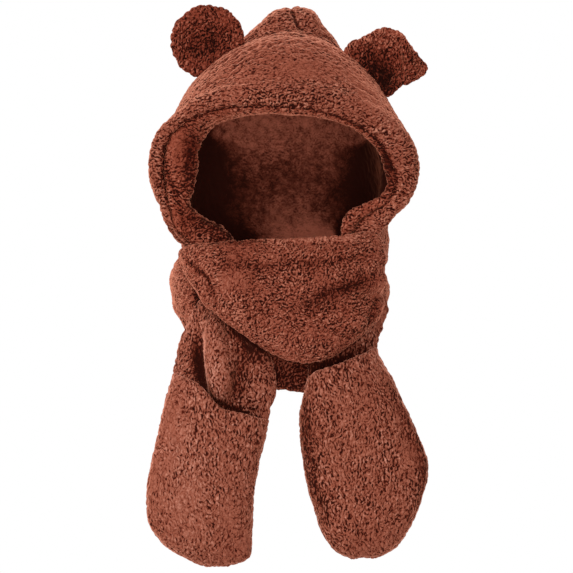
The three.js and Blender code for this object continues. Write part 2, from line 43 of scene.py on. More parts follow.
# Sizes in millimetres, as in the part's source. TUFT is the usual distance between the pile's tufts, and
# COARSE is how many steps of a panel's outside its inside takes at once.
MM = 0.001
HOOD_WIDTH, HOOD_REACH, CHIN_FRONT, CHIN_DROP, HOOD_MIDDLE = 292, 336, 84, 276, -5.5
CROWN_SWAY, CROWN_TILT, SEAM_LEAN, SEAM_HALF = 11, 0.055, 0.066, 0.03
FLEECE, SEAM, TUFT, COARSE = 6, 0.4, 5.8, 4
NECK_WIDTH, NECK_DEPTH, SCARF = 176, 164, 100
NECK_MIDDLE = NECK_DEPTH / 2 - CHIN_FRONT + 0.035 * HOOD_REACH


def columns(names, *rows):
    """A table as one array of numbers for each named column."""
    return dict(zip(names.split(), np.array(rows, float).T))


# The hood's sections from the face edge to the neck edge. Each lies in a plane hinged at the chin, which
# lean turns, in degrees. Low and high are shares of the reach, and half, shift, bow and lift of half the
# width. The last three sections stand round the neck.
hood = columns(
    "lean low high half shift belly left_low right_low left_top right_top bow lift drop",
    (96.4, 0.101, 0.598, 0.745, 0.1, 0.56, 3, 1.2, 2.9, 2.3, 0.15, 0, 0),
    (102.6, 0.08, 0.629, 0.89, -0.02, 0.58, 2.6, 1.6, 2.7, 2, 0.2, 0, 0),
    (103, 0.063, 0.675, 0.99, 0, 0.59, 2.3, 1.65, 2.2, 2.15, 0.22, 0, 0),
    (99.3, 0.055, 0.704, 1, 0.01, 0.57, 2.3, 1.6, 1.85, 2.05, 0.25, 0, 0),
    (90.2, 0.052, 0.785, 0.965, 0, 0.51, 2.3, 1.7, 1.72, 1.9, 0.25, 0, 0),
    (80.8, 0.052, 0.859, 0.9, 0, 0.47, 2.2, 1.8, 1.8, 1.9, 0.2, 0, 0),
    (75.4, 0.052, 0.892, 0.86, 0, 0.45, 2.2, 1.9, 1.62, 1.6, 0.14, 0, 0),
    (70.2, 0.052, 0.998, 0.81, 0, 0.42, 2.2, 2, 1.5, 1.42, 0.08, 0, 0),
    (64.1, 0.05, 1.018, 0.8, 0, 0.42, 2.2, 2.1, 1.6, 1.55, 0.03, 0, 0),
    (56, 0.048, 1.003, 0.8, 0, 0.44, 2.2, 2.2, 1.85, 1.8, 0, 0, 0),
    (45.9, 0.046, 0.929, 0.8, 0, 0.46, 2.2, 2.2, 2.05, 2, 0, 0.01, 0),
    (34.9, 0.044, 0.814, 0.79, 0, 0.48, 2.2, 2.2, 2.15, 2.15, 0, 0.03, 0),
    (23.5, 0.042, 0.704, 0.76, 0, 0.5, 2.2, 2.2, 2.25, 2.25, 0, 0.08, 0),
    (15.6, 0.04, 0.629, 0.685, 0, 0.5, 2.3, 2.3, 2.3, 2.3, 0, 0.11, 0),
)
for name in ("low", "high"):
    hood[name] *= HOOD_REACH
for name in ("half", "shift", "bow", "lift"):
    hood[name] *= HOOD_WIDTH / 2
neck = [
    (
        lean,
        NECK_MIDDLE + CHIN_FRONT - grow * NECK_DEPTH / 2,
        NECK_MIDDLE + CHIN_FRONT + grow * NECK_DEPTH / 2,
        grow * NECK_WIDTH / 2,
        0, 0.5, 2.3, 2.3, 2.3, 2.3, 0,
        lift * NECK_WIDTH / 2,
        drop * SCARF,
    )
    for lean, drop, grow, lift in ((12, 0, 1.06, 0.1), (7, 0.04, 1, 0.05), (0, 0.32, 1, 0))
]
hood = {name: np.append(rows, below) for (name, rows), below in zip(hood.items(), zip(*neck))}
LAST_ROW = len(hood["lean"]) - 1
hood["row"] = np.arange(LAST_ROW + 1.0)


def track(table, along, column, at, period=0):
    """A column at places along another: cubics whose slope at a row is that between its neighbours."""
    x, v = table[along], table[column]
    if period:
        x = np.concatenate([x[-2:] - period, x, x[:2] + period])
        v = np.concatenate([v[-2:], v, v[:2]])
    before, after = np.r_[0, 0:len(x) - 1], np.r_[1:len(x), len(x) - 1]
    slope = (v[after] - v[before]) / (x[after] - x[before])
    i = np.clip(np.searchsorted(x, at) - 1, 0, len(x) - 2)
    step = x[i + 1] - x[i]
    t = np.clip((at - x[i]) / step, 0, 1)
    keep = (1 + 2 * t) * (1 - t) ** 2
    bend = t * (1 - t) * step * ((1 - t) * slope[i] - t * slope[i + 1])
    return keep * v[i] + (1 - keep) * v[i + 1] + bend


def ease(value, low=0.0, high=1.0):
    """0 below low, 1 above high, and 3t^2 - 2t^3 between them."""
    t = np.clip((value - low) / (high - low), 0, 1)
    return t * t * (3 - 2 * t)


def power(x, p):
    """x to the power p, with the sign of x."""
    return np.sign(x) * np.abs(x) ** p


def mix(a, b, t):
    """a where t is 0, b where it is 1, and in a straight run between."""
    return a + (b - a) * t


def rounded(distance, rim):
    """A quarter circle: 0 at an edge, 1 once the distance from it is the rim's width."""
    return np.sqrt(1 - (1 - np.clip(distance / rim, 0, 1)) ** 2)


def hood_point(turn, row):
    """A superellipse round each section's belly, leant back about the chin, bowed at its sides and
    swayed at the crown."""
    turn, row = np.broadcast_arrays(turn, row)
    at = {name: track(hood, "row", name, row) for name in hood if name != "row"}
    across, up = -np.sin(turn), -np.cos(turn)
    middle = mix(at["low"], at["high"], at["belly"])
    left = np.where(up > 0, at["left_top"], at["left_low"])
    right = np.where(up > 0, at["right_top"], at["right_low"])
    fullness = mix(left, right, (across + 1) / 2)
    x = at["half"] * power(across, 2 / fullness)
    reach = middle + power(up, 2 / fullness) * np.where(up > 0, at["high"] - middle, middle - at["low"])
    side = (x / at["half"]) ** 2
    lean = np.radians(at["lean"])
    y = -CHIN_FRONT + reach * np.cos(lean) + at["bow"] * side
    rise = reach * np.sin(lean) + at["lift"] * side - at["drop"]
    sway = CROWN_SWAY * ease(rise, 0.6 * CHIN_DROP, 1.15 * CHIN_DROP)
    tilt = CROWN_TILT * ease(rise, 0.1 * CHIN_DROP, 0.6 * CHIN_DROP)
    return np.stack([HOOD_MIDDLE + at["shift"] + x + sway, y, rise - CHIN_DROP - tilt * x], -1)


def hood_offset(turn, row, distance):
    """The hood's surface moved along its normal, the cross product of its two small steps."""
    e = 0.02
    along = hood_point(turn, np.minimum(row + e, LAST_ROW)) - hood_point(turn, np.maximum(row - e, 0))
    round_it = hood_point(turn + e, row) - hood_point(turn - e, row)
    normal = np.cross(round_it, along)
    normal /= np.linalg.norm(normal, axis=-1, keepdims=True)
    return hood_point(turn, row) + normal * np.asarray(distance)[..., None]


def even_rows(first, last, spacing):
    """Rows whose steps over the crown have the spacing that is asked for at each row."""
    row = np.linspace(first, last, 4000)
    run = hood_point(np.pi, row)
    length = np.linalg.norm(np.diff(run, axis=0), axis=1) / spacing((row[1:] + row[:-1]) / 2)
    gone = np.concatenate([[0], np.cumsum(length)])
    count = COARSE * int(np.ceil(gone[-1] / COARSE))
    return np.interp(np.linspace(0, gone[-1], count + 1), gone, row)


def seam_turn(row, start, side):
    """The turn at which each row meets the middle seam's plane, by halving the span it lies in."""

    def past(turn):
        p = hood_point(turn, row)
        return p[..., 0] - HOOD_MIDDLE - SEAM_LEAN * (p[..., 2] + CHIN_DROP) - SEAM_HALF * side

    a, b = np.full_like(row, start - 0.3), np.full_like(row, start + 0.3)
    low = past(a)
    for _ in range(40):
        middle = (a + b) / 2
        same = np.sign(past(middle)) == np.sign(low)
        a, b = np.where(same, middle, a), np.where(same, b, middle)
    return (a + b) / 2


def quads(rows, count, ring_rows, ring_columns, first=0):
    """The corner numbers of a grid's faces, with the last row or column joined to the first in a ring."""
    number = first + np.arange(rows * count).reshape(rows, count)
    number = np.vstack([number, number[:1]]) if ring_rows else number
    number = np.hstack([number, number[:, :1]]) if ring_columns else number
    faces = np.stack([number[:-1, :-1], number[:-1, 1:], number[1:, 1:], number[1:, :-1]], -1)
    return number, faces.reshape(-1, 4)


def piece_of(name, points, faces, cover, shadow, outward=None):
    """A closed mesh in metres from points in millimetres, its doubles merged and its faces outwards."""
    mesh = bpy.data.meshes.new(name)
    mesh.from_pydata(points * MM, [], faces)
    for kept, value in (("cover", cover), ("shadow", shadow)):
        mesh.attributes.new(kept, "FLOAT", "POINT").data.foreach_set("value", value.astype(np.float32))
    if outward is not None:
        layer = mesh.attributes.new("outward", "FLOAT_VECTOR", "POINT")
        layer.data.foreach_set("vector", outward.astype(np.float32).ravel())
    work = bmesh.new()
    work.from_mesh(mesh)
    bmesh.ops.remove_doubles(work, verts=work.verts, dist=0.01 * MM)
    if work.calc_volume(signed=True) < 0:
        bmesh.ops.reverse_faces(work, faces=work.faces)
    work.to_mesh(mesh)
    work.free()
    mesh.shade_smooth()
    piece = bpy.data.objects.new(name, mesh)
    bpy.context.collection.objects.link(piece)
    return piece


def backed_cloth(name, outside, inside, shadow, outward):
    """A panel with cut edges, closed by faces that join each step of its coarser inside to the outside's."""
    rows, count = outside.shape[:2]
    outer, faces = quads(rows, count, False, False)
    inner, back = quads(*inside.shape[:2], False, False, rows * count)
    faces = faces.tolist() + back[:, ::-1].tolist()
    for near, far, flip in (
        (outer[0], inner[0], True), (outer[-1], inner[-1], False),
        (outer[:, 0], inner[:, 0], False), (outer[:, -1], inner[:, -1], True),
    ):
        k = np.arange(len(far) - 1)[:, None]
        run = near[k * COARSE + np.arange(COARSE + 1)]
        edge = np.hstack([run, far[k + 1], far[k]])
        faces += (edge[:, ::-1] if flip else edge).tolist()
    points = np.vstack([outside.reshape(-1, 3), inside.reshape(-1, 3)])
    cover = np.concatenate([np.ones(rows * count), np.zeros(inside[..., 0].size)])
    shadow = np.concatenate([shadow.ravel(), np.zeros(inside[..., 0].size)])
    outward = np.vstack([outward.reshape(-1, 3), np.zeros(inside.shape).reshape(-1, 3)])
    return piece_of(name, points, faces, cover, shadow, outward)


def closed_grid(name, points, ring_rows, ring_columns, cover=1.0, shadow=0.0):
    """A closed surface from one grid of points, a ring in one direction or both."""
    rows, count = points.shape[:2]
    _, faces = quads(rows, count, ring_rows, ring_columns)
    cover, shadow = (np.broadcast_to(value, (rows, count)).ravel() for value in (cover, shadow))
    return piece_of(name, points.reshape(-1, 3), faces.tolist(), cover, shadow)


def scatter(cell, salt):
    """Three repeatable numbers from 0 to 1 for each cell: its place times large primes, mixed to 32 bits."""
    low = 0xFFFFFFFF
    x, y, z = (cell[..., k] * prime for k, prime in enumerate((73856093, 19349663, 83492791)))
    mixed = (x ^ y ^ z ^ (salt * 2654435761)) & low
    numbers = []
    for _ in range(3):
        mixed = ((mixed ^ (mixed >> 15)) * 0x2C1B3C6D) & low
        mixed = ((mixed ^ (mixed >> 12)) * 0x297A2D39) & low
        mixed = mixed ^ (mixed >> 15)
        numbers.append(mixed / 4294967296)
    return np.stack(numbers, -1)


def drift(points, pitch, salt):
    """Three smooth noises from -1 to 1: numbers at the corners of cubes of side pitch, blended by a
    quintic."""
    scaled = points / pitch
    cell = np.floor(scaled).astype(np.int64)
    t = scaled - cell
    t = t ** 3 * (t * (6 * t - 15) + 10)
    total = 0
    for corner in np.ndindex(2, 2, 2):
        weight = np.prod(np.where(np.array(corner) == 1, t, 1 - t), axis=1)
        total = total + weight[:, None] * scatter(cell + np.array(corner), salt)
    return 2 * total - 1


def tufts(points, pitch, salt):
    """Distances, in tufts, to the nearest and the second nearest tuft's middle. One lies in each cube
    of side pitch."""
    scaled = points / pitch
    cell = np.floor(scaled).astype(np.int64)
    near = np.full(len(points), np.inf)
    second = near.copy()
    for step in np.ndindex(3, 3, 3):
        place = cell + np.array(step) - 1
        away = np.linalg.norm(place + scatter(place, salt) - scaled, axis=1)
        second = np.minimum(second, np.maximum(near, away))
        near = np.minimum(near, away)
    return near, second


def beside(points, path):
    """Seen from the front, each point's distance from a path of straight runs, and how far along it is."""
    path = np.array(path, float)
    seen = points[:, [0, 2]]
    nearest, gone = np.full(len(points), np.inf), np.zeros(len(points))
    for k, (a, b) in enumerate(zip(path[:-1], path[1:])):
        run = b - a
        t = np.clip((seen - a) @ run / (run @ run), 0, 1)
        away = np.linalg.norm(seen - a - t[:, None] * run, axis=1)
        gone = np.where(away < nearest, (k + t) / (len(path) - 1), gone)
        nearest = np.minimum(nearest, away)
    return nearest, gone


# How the worn cloth has settled, seen from the front: (across, up, how wide, shift across, shift up).
# Some pulls add how far back they reach, and fade out behind it.
PULL_FADE = 30
SETTLED = (
    (-133, -72, 24, 4.6, -3), (-150, -112, 22, 2.4, 0), (-147, -180, 24, 4.8, 0), (126, -196, 14, -4.6, 1),
    (135, -145, 24, -1.4, 0), (112, -252, 10, -6, 0), (112, -220, 8, 4, 0), (112, -280, 18, 3, 0),
    (-132, -240, 10, 2.2, 0), (-132, -262, 12, -3.4, 0), (-121, -307, 12, 3.2, 1), (-46, -562, 14, 4.5, -4),
    (117, -372, 28, 2.2, 0), (10, -425, 34, 1.8, 0), (-16, -410, 22, -1.6, 0), (-4, -384, 16, 0, -2),
    (-154, -505, 14, 2.4, 0), (84, -572, 16, 0, 2.2), (-126, -350, 16, -2, 0), (106, -318, 12, 1, 0),
    (17, -363, 9, 3, -4.5),
)


def raise_pile(piece, pitch, depth, salt, folds=(), shadows=(), clumpy=None, stretch=(1, 1, 1),
               pulls=SETTLED):
    """Settles the cloth and lifts its pile along the surface's normals: tufts are domes about scattered
    middles, on ground bent by noise. A fold is (path, width, height), a ridge or dent of soft bell section
    that fades at its ends. A shadow is (path, width, amount), painted shade with no change of height, or
    with a minus a painted highlight. Leaves in attributes each point's height, which the shader paints paler
    on the tufts and darker in the gaps, partly the pile's own colour and partly painted shade, each point's
    painted shade, and how much its curls part, which clumpy works out."""
    mesh = piece.data
    count = len(mesh.vertices)

    def kept(source, name, size=1):
        values = np.empty(count * size, np.float32)
        source.foreach_get(name, values)
        return values.astype(float).reshape(-1, 3) if size == 3 else values.astype(float)

    at, out = kept(mesh.vertices, "co", 3) / MM, kept(mesh.vertex_normals, "vector", 3)
    cover, shadow = (kept(mesh.attributes[name].data, "value") for name in ("cover", "shadow"))
    if "outward" in mesh.attributes:
        given = kept(mesh.attributes["outward"].data, "vector", 3)
        out = np.where(np.linalg.norm(given, axis=1, keepdims=True) > 0.5, given, out)
        mesh.attributes.remove(mesh.attributes["outward"])

    def bell(path, wide, facing):
        """1 along a path where the cloth faces forwards, falling off to its sides and towards its ends."""
        away, gone = beside(at, path)
        ends = np.sin(np.pi * mix(0.06, 0.94, gone)) ** 0.5
        return (out[:, 1] < facing) * np.exp(-((away / wide) ** 2)) * ends

    lift = np.zeros(count)
    for path, wide, height in folds:
        lift += height * bell(path, wide, 0.25)
    for path, wide, amount in shadows:
        shadow += amount * bell(path, wide, 0.5)
    bent = at / np.array(stretch) + 0.45 * pitch * drift(at, 1.5 * pitch, salt)
    near, second = tufts(bent, pitch, salt + 1)
    dome = 1 - np.clip(near / 0.85, 0, 1) ** 2
    gap = 1 - ease(second - near, 0.0, 0.22)
    ground = drift(at, 3 * pitch, salt + 3)[:, 0]
    height = 0.7 * dome + 0.3 * ground - 0.25 * gap
    moved = at + out * (cover * (depth * height + lift))[:, None]
    for x, z, wide, along, up, *back in pulls:
        share = np.exp(-((at[:, [0, 2]] - (x, z)) ** 2).sum(1) / wide ** 2)
        if back:
            share *= 1 - ease(at[:, 1], back[0], back[0] + PULL_FADE)
        moved += share[:, None] * np.array([along, 0, up])
    mesh.vertices.foreach_set("co", (moved * MM).astype(np.float32).ravel())
    pile = 0.3 + 0.6 * dome + 0.12 * ground - 0.25 * gap
    parting = np.ones(count) if clumpy is None else clumpy(at)
    for name, value in (("pile", pile), ("shadow", np.clip(shadow, -0.4, 1.2)), ("clumpy", parting)):
        layer = mesh.attributes.get(name) or mesh.attributes.new(name, "FLOAT", "POINT")
        layer.data.foreach_set("value", value.astype(np.float32))
    mesh.attributes.remove(mesh.attributes["cover"])
    mesh.update()


def screen(red, green, blue):
    """A colour as a screen shows it, 0 to 255, turned into linear light."""
    c = np.array([red, green, blue]) / 255
    return (*np.where(c <= 0.04045, c / 12.92, ((c + 0.055) / 1.055) ** 2.4), 1.0)


def node(tree, kind, inputs, **settings):
    """A shader node with its settings, and each of its inputs set or joined to another node's output."""
    made = tree.nodes.new(kind)
    for name, value in settings.items():
        setattr(made, name, value)
    for socket, value in inputs.items():
        if isinstance(value, bpy.types.NodeSocket):
            tree.links.new(value, made.inputs[socket])
        else:
            made.inputs[socket].default_value = value
    return made


def teddy_group():
    """The look of teddy pile, from noise alone. A bent noise gives the curls. Each curl is painted pale on
    one side and dark on the other, painted light and shade as if lit from one way: its colour is the noise at
    a place less the noise a step further on. Creases between puffs, where a second noise passes its middle
    value, are painted darker as shade, and fine strands and broad patches are added. Together they set a
    tone, which picks the colour from the dark between the curls, painted shade, over the pile's root and
    body to its tip. The Shadow input paints shade, near black where it is deep, and a painted highlight
    below 0. A noise's scale counts its grains to the metre."""
    tree = bpy.data.node_groups.new("teddy_pile", "ShaderNodeTree")
    for name, kind in (
        ("Place", "Vector"), ("Shade_Step", "Vector"), ("Pile", "Float"), ("Shadow", "Float"), ("Clumpy", "Float"),
        ("Root", "Color"), ("Body", "Color"), ("Tip", "Color"),
    ):
        tree.interface.new_socket(name, in_out="INPUT", socket_type="NodeSocket" + kind)
    tree.interface.new_socket("Colour", in_out="OUTPUT", socket_type="NodeSocketColor")
    tree.interface.new_socket("Height", in_out="OUTPUT", socket_type="NodeSocketFloat")
    given = tree.nodes.new("NodeGroupInput").outputs

    def maths(kind, a, b, clamp=False):
        return node(tree, "ShaderNodeMath", {0: a, 1: b}, operation=kind, use_clamp=clamp).outputs[0]

    def scaled(value, middle, by):
        return maths("MULTIPLY", maths("SUBTRACT", value, middle), by)

    def stepped(value, low, high, a=0.0, b=1.0):
        inputs = {"Value": value, "From Min": low, "From Max": high, "To Min": a, "To Max": b}
        return node(tree, "ShaderNodeMapRange", inputs, interpolation_type="SMOOTHSTEP").outputs[0]

    def vector(kind, a, b):
        second = "Scale" if kind == "SCALE" else 1
        return node(tree, "ShaderNodeVectorMath", {0: a, second: b}, operation=kind).outputs[0]

    def noise(place, scale, detail=0.0):
        return node(tree, "ShaderNodeTexNoise", {"Vector": place, "Scale": scale, "Detail": detail})

    def blend(t, a, b):
        made = node(tree, "ShaderNodeMix", {0: t}, data_type="RGBA")
        for socket, value in ((made.inputs[6], a), (made.inputs[7], b)):
            tree.links.new(value, socket)
        return made.outputs[2]

    curls = 430.0
    pushed = vector("SUBTRACT", noise(given["Place"], 200.0, 1.0).outputs["Color"], (0.5, 0.5, 0.5))
    bent = vector("ADD", given["Place"], vector("SCALE", pushed, 0.005))
    turned = vector("SUBTRACT", noise(given["Place"], 30.0).outputs["Color"], (0.5, 0.5, 0.5))
    shade_step = vector("ADD", given["Shade_Step"], vector("SCALE", turned, 0.003))
    curl = noise(bent, curls).outputs["Fac"]
    beyond = noise(vector("ADD", bent, shade_step), curls).outputs["Fac"]
    aside = noise(vector("ADD", bent, (3.7, 3.7, 3.7)), 0.55 * curls).outputs["Fac"]
    # Creases between puffs, painted darker as shade.
    puff = stepped(maths("ABSOLUTE", maths("SUBTRACT", aside, 0.5), 0.0), 0.0, 0.13)
    strands = noise(vector("ADD", bent, (7.1, 7.1, 7.1)), 1150.0, 2.0).outputs["Fac"]
    patches = noise(vector("ADD", bent, (9.4, 9.4, 9.4)), 48.0, 2.0).outputs["Fac"]
    # Painted light and shade on the curls' sides: the noise less the noise a step on. The same relief is also
    # the bump's height.
    relief = maths("MULTIPLY", maths("SUBTRACT", curl, beyond), 1.7)
    relief = maths("ADD", relief, scaled(puff, 0.62, 0.35))
    parting = maths("MULTIPLY", given["Clumpy"], stepped(patches, 0.38, 0.6, 0.78, 1.12))
    relief = maths("MULTIPLY", relief, parting)
    fine = maths("MULTIPLY", scaled(strands, 0.5, 0.6), stepped(given["Clumpy"], 0.0, 0.5, 0.2, 1.0))
    relief = maths("ADD", relief, fine)
    tone = maths("SUBTRACT", relief, scaled(maths("MAXIMUM", relief, 0.0), 0.0, 0.35))
    tone = maths("ADD", tone, scaled(patches, 0.5, -0.18))
    tone = maths("ADD", tone, scaled(given["Pile"], -1.75, 0.19))
    tone = maths("SUBTRACT", tone, scaled(given["Shadow"], 0.0, 0.8), True)
    # The dark colour is painted shade, between the curls and where the Shadow input is deep.
    dark = vector("SCALE", given["Root"], 0.3)
    colour = blend(stepped(tone, 0.0, 0.25), dark, given["Root"])
    colour = blend(stepped(tone, 0.15, 0.55), colour, given["Body"])
    colour = blend(stepped(tone, 0.5, 1.0), colour, given["Tip"])
    colour = blend(stepped(given["Shadow"], 0.6, 1.15), colour, dark)
    node(tree, "NodeGroupOutput", {"Colour": colour, "Height": relief})
    return tree


TEDDY = teddy_group()


def teddy(name, root, body, tip, shade_step, lean=(1.0, 1.0, 1.0), bump=0.8, rim_light=0.85):
    """Teddy fleece in its own colours. The step given after the colours, in millimetres, sets which side of
    each curl is painted lit and which shaded, and lean draws the pattern out along the axes where it is
    under 1. The last argument is how far the colour is painted paler where the pile is seen edge on, as a
    painted rim light."""
    made = bpy.data.materials.new(name)
    made.use_nodes = True
    tree = made.node_tree
    shader = tree.nodes["Principled BSDF"]
    place = node(tree, "ShaderNodeTexCoord", {}).outputs["Object"]
    place = node(tree, "ShaderNodeMapping", {"Vector": place, "Scale": lean}).outputs[0]
    look = node(tree, "ShaderNodeGroup", {}, node_tree=TEDDY)
    tree.links.new(place, look.inputs["Place"])
    for kept in ("pile", "shadow", "clumpy"):
        value = node(tree, "ShaderNodeAttribute", {}, attribute_name=kept).outputs["Fac"]
        tree.links.new(value, look.inputs[kept.capitalize()])
    look.inputs["Shade_Step"].default_value = [MM * step for step in shade_step]
    for socket, value in (("Root", screen(*root)), ("Body", screen(*body)), ("Tip", screen(*tip))):
        look.inputs[socket].default_value = value
    # Painted rim light: the colour turns to a pale tip colour where the surface is seen edge on.
    facing = node(tree, "ShaderNodeLayerWeight", {"Blend": 0.5}).outputs["Facing"]
    span = {"Value": facing, "From Min": 0.52, "From Max": 0.92, "To Max": rim_light}
    grazed = node(tree, "ShaderNodeMapRange", span, interpolation_type="SMOOTHSTEP")
    rim_lit = node(tree, "ShaderNodeMix", {0: grazed.outputs[0]}, data_type="RGBA")
    rim_lit.inputs[7].default_value = screen(*(1.2 * step for step in tip))
    tree.links.new(look.outputs["Colour"], rim_lit.inputs[6])
    tree.links.new(rim_lit.outputs[2], shader.inputs["Base Color"])
    raised = {"Height": look.outputs["Height"], "Strength": bump, "Distance": 1.4 * MM}
    tree.links.new(node(tree, "ShaderNodeBump", raised).outputs[0], shader.inputs["Normal"])
    shader.inputs["Roughness"].default_value = 0.95
    shader.inputs["Specular IOR Level"].default_value = 0.08
    shader.inputs["Sheen Weight"].default_value = 0.3
    shader.inputs["Sheen Roughness"].default_value = 0.32
    shader.inputs["Sheen Tint"].default_value = screen(255, 150, 110)
    return made


hood_fleece = teddy("hood_fleece", (78, 22, 8), (143, 76, 57), (188, 122, 100), (0.25, 0, -1.0),
                    (0.85, 0.85, 1.0))


def finish_piece(piece, finish, slot, *nodes):
    """Gives a piece its material and its place: it rides on the one body and replaces its plain solids.
    The slot it is given is not used."""
    piece.data.materials.append(finish)
    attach(piece, "root")
    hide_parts(*nodes)


panel_rows = even_rows(1.02, LAST_ROW, lambda row: 1.5 + 1.5 * ease(row, 9, 10))
share = np.linspace(0, 1, 70 * COARSE + 1)
top_seam = {side: seam_turn(panel_rows, np.pi, side) for side in (-1, 1)}
low_seam = {side: seam_turn(panel_rows, 0.0, side) for side in (-1, 1)}
FACE_PULLS = (
    (-86, -212, 16, 11, 7, -50), (-70, -218, 13, 14, -1, -50), (-94, -176, 17, -11, 0, -50),
    (80, -192, 24, -22, 9, -50), (64, -204, 14, -6, 0, -50), (106, -138, 15, -4, 0, -50),
)
crown_folds = [
    ([(3, 48), (5, 37), (8, 28), (13, 18)], 3.2, -3.5),
    ([(-50, 2), (-38, 7), (-14, 11), (16, 9), (37, 9), (66, -6)], 4.0, -2.0),
    ([(-22, 20), (-14, 30), (-5, 38)], 9.0, 4.0),
    ([(30, 20), (24, 32), (14, 40)], 9.0, 6.0),
]
# Painted shade along the crown's creases and in broad soft patches, and painted highlights, where the amount
# is below 0, on the peak and the right flank.
crown_shadows = [
    ([(3, 47), (5, 37), (8, 28), (12, 20), (15, 10)], 2.0, 0.8),
    ([(-36, 34), (-14, 44), (8, 44), (30, 34)], 6.0, -0.2),
    ([(-96, -40), (-64, -22), (0, 0), (60, -20)], 20, 0.1),
    ([(-34, -58), (18, -58), (52, -62)], 9, 0.12), ([(-76, -20), (-50, 0)], 14, 0.14),
    ([(92, -50), (104, -72), (114, -96)], 15, -0.15),
    ([(-54, 0), (-42, 6), (-28, 9)], 3.0, 0.3), ([(36, 10), (50, 4), (66, -8)], 3.0, 0.3),
]


def parted(at):
    """How far the curls part: all over near the face, and less on the smooth front of the crown, on the
    right flank and on the band's upper left."""
    x, z = at[:, 0], at[:, 2]
    crown = ease(z, -56, -34) * (1 - ease(z, 0, 16)) * ease(x, -105, -50)
    flank = ease(x, 60, 90) * ease(z, -110, -70) * (1 - ease(z, 0, 10))
    band = 1 - ease(np.hypot(x + 118, (z + 120) / 1.6), 8, 22)
    return 1.1 - 0.5 * np.maximum(np.maximum(crown, flank), band)


for side, word in ((-1, "left"), (1, "right")):
    ends = (low_seam[-1], top_seam[-1]) if side < 0 else (top_seam[1], low_seam[1] + 2 * np.pi)
    turn = mix(ends[0][:, None], ends[1][:, None], share[None, :])
    row = np.broadcast_to(panel_rows[:, None], turn.shape)
    outside = hood_offset(turn, row, FLEECE / 2)
    inside = hood_offset(turn[::COARSE, ::COARSE], row[::COARSE, ::COARSE], -FLEECE / 2)
    outward = hood_offset(turn, row, FLEECE / 2 + 1) - outside
    # Painted shade in the groove along the panels' edge at the face band.
    groove_shade = 0.5 * (1 - ease(row, 1.03, 1.2))
    panel = backed_cloth("hood_panel_" + word, outside, inside, groove_shade, outward)
    raise_pile(panel, TUFT, 2.2, 11, crown_folds, crown_shadows, parted, pulls=SETTLED + FACE_PULLS)
    panel.data.set_sharp_from_angle(angle=1.3)
    finish_piece(panel, hood_fleece, "hood_fleece", "hood_" + word)

# Lining. One bag of short plush, sewn in behind the face band and joined to the panels at the neck.
# It shows as the dark inside of the hood, with painted shade that leaves it brown at the back and nearly
# black at the sides.

LINING = 3
# Its colours are paler than the hood's: painted light that makes up for the little light reaching the inside.
lining_plush = teddy("lining_plush", (100, 44, 30), (208, 120, 94), (250, 178, 146), (0.3, 0, -1.2),
                     bump=0.25, rim_light=0.0)
lining_rows = even_rows(2.0, 15.9, lambda row: 3.2)
hidden_rows = lining_rows[-9:0:-8]
seen_face = -FLEECE / 2 - 2 * SEAM - LINING
edge = np.concatenate([[0.5], np.ones(len(lining_rows) - 2), [0.5]])
rows = np.concatenate([lining_rows, hidden_rows])
depth = np.concatenate([
    mix(seen_face + LINING, seen_face, edge),
    np.full(len(hidden_rows), seen_face + LINING),
])
around = np.linspace(0, 2 * np.pi, 280, endpoint=False)
points = hood_offset(around[None, :], rows[:, None], depth[:, None] + 0 * around)


def inner_shadow(points):
    """How dark the inside is. The light that reaches it is a share that is highest at the brow and the nape
    and falls off in a straight run to each side, and the shadow is a logarithm of that share."""
    x, z = points[..., 0], points[..., 2]
    nape = 0.24 * (1 - ease(z, -190, -150)) + 0.75 * (1 - ease(z, -216, -188))
    middle = 0.52 + 0.38 * ease(z, -150, -80) + nape
    brow = ease(z, -116, -97)
    dark = mix(-94, -46, 1 - ease(z, -212, -186))
    light = -42 + 42 * (1 - ease(z, -204, -140)) - 36 * brow ** 2
    left = np.clip((x - dark) / (light - dark), 0, 1)
    light = 50 - 32 * np.exp(-(((z + 174) / 20) ** 2)) + 44 * brow
    dark = mix(92, 58, 1 - ease(z, -205, -175)) + 30 * brow
    right = np.clip((dark - x) / (dark - light), 0, 1)
    return 0.05 - 0.36 * np.log(middle * mix(0.1, 1, left) * mix(0.06, 1, right))


plush = np.concatenate([np.ones(len(lining_rows)), np.zeros(len(hidden_rows))])
lining = closed_grid("hood_lining_plush", points, True, True, plush[:, None], inner_shadow(points))
raise_pile(lining, 7.5, 1.6, 23, clumpy=lambda at: np.full(len(at), 0.14))
finish_piece(lining, lining_plush, "lining_plush", "hood_lining")

# Face band. The fleece is turned in round the face opening over a soft core and stitched down, which
# leaves the fine groove between the band and the side panels.

BAND, GROOVE = 13, 0.98
band_fleece = teddy("band_fleece", (76, 21, 8), (138, 67, 48), (182, 112, 90), (0.3, 0, -0.9),
                    (0.85, 0.85, 1.0))
seen_rows = GROOVE * np.linspace(0, 1, 26)
band_rows = np.concatenate([seen_rows, seen_rows[-4:0:-3]])
half = BAND / 2 * rounded(band_rows, 0.5) * rounded(GROOVE - band_rows, 0.5)
half[len(seen_rows):] *= -1
around = np.linspace(0, 2 * np.pi, 520, endpoint=False)
above = mix(0.25, 0.55, ease(-np.cos(around), 0.2, 0.8))
# Painted shade in the groove along the band's outer edge, deeper over the top.
groove_shade = ease(band_rows, 0.86, GROOVE)[:, None] * above[None, :]
tufted = 1 + 0.8 * (1 - ease(band_rows, 0.05, 0.3))
points = hood_offset(around[None, :], band_rows[:, None], half[:, None] + 0 * around)
band = closed_grid("face_band_roll", points, True, True, tufted[:, None], groove_shade)
crease = [(-138, -118), (-136, -136), (-130, -155), (-121, -176), (-118, -192), (-110, -217)]
